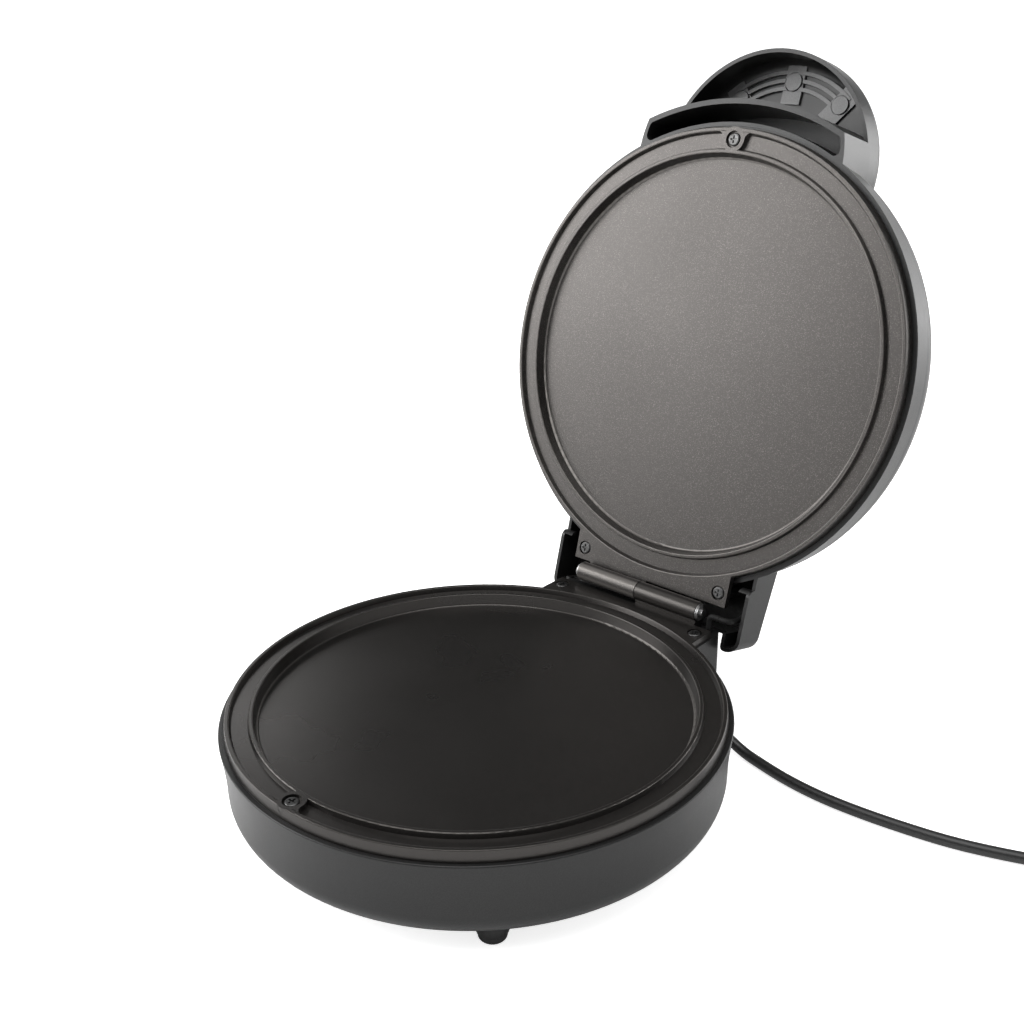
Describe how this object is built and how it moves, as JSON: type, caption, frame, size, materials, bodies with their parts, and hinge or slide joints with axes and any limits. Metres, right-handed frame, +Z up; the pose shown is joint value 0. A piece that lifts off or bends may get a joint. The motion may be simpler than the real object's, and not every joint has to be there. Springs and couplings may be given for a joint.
{
  "type": "countertop pizza maker",
  "caption": "Round countertop pizza maker with a hinged domed lid, hooded front handle, facing cast cooking plates, feet and a mains cord.",
  "frame": {"origin": "on the table, below the middle of the open cooker's bounding box, cord left out", "axes": "+X to the right of a cook facing the handle side, +Y from the front to the hinge, +Z up; stored with the lid open"},
  "size_m": [0.595, 0.5173, 0.4504],
  "materials": {
    "base_plastic": "satin, fine moulded grain",
    "lid_plastic": "satin, fine moulded grain",
    "frame_plastic": "satin",
    "coated_casting": "dark non-stick coating with a fine fleck",
    "rod_sheath": "heat-dulled",
    "shield_sheet": "rolled sheet",
    "zinc_screws": "zinc plated",
    "plate_screws": "satin, cross recess",
    "pin_steel": "turned",
    "thermostat_case": "pressed",
    "fuse_case": "drawn",
    "block_plastic": "plain",
    "brass_parts": "machined",
    "lead_insulation": "braided glass over silicone",
    "sleeve": "matte",
    "pad_rubber": "matte",
    "cord_rubber": "satin",
    "plug_plastic": "satin"
  },
  "bodies": {
    "base": {"base_shell": "base_plastic", "base_plate": "coated_casting", "base_heating_rod": "rod_sheath", "base_heat_shield": "shield_sheet", "base_shield_screws": "zinc_screws", "base_front_screw": "plate_screws", "base_lug_screws": "plate_screws", "thermostat": "thermostat_case", "thermal_fuse": "fuse_case", "terminal_block": "block_plastic", "terminal_screws": "brass_parts", "base_leads": "lead_insulation", "lead_sleeve_base": "sleeve", "foot_pads": "pad_rubber", "hinge_pin": "pin_steel", "hinge_washers": "pin_steel", "hinge_clip": "pin_steel", "strain_relief": "cord_rubber", "power_cord": "cord_rubber", "cord_coil": "cord_rubber", "plug_body": "plug_plastic", "plug_pins": "brass_parts"},
    "lid": {"lid_shell": "lid_plastic", "handle_frame": "frame_plastic", "lead_sleeve_lid": "sleeve", "lid_splice": "block_plastic", "lid_leads": "lead_insulation", "lid_plate": "coated_casting", "lid_heating_rod": "rod_sheath", "lid_heat_shield": "shield_sheet", "lid_shield_screws": "zinc_screws", "lid_front_screw": "plate_screws", "lid_lug_screws": "plate_screws"}
  },
  "joints": [
    {"name": "lid_hinge", "type": "hinge", "parent": "base", "child": "lid", "pos_m": [0, 0.0785, 0.0837], "axis": [1, 0, 0], "range_deg": [0, 105.8]}
  ]
}
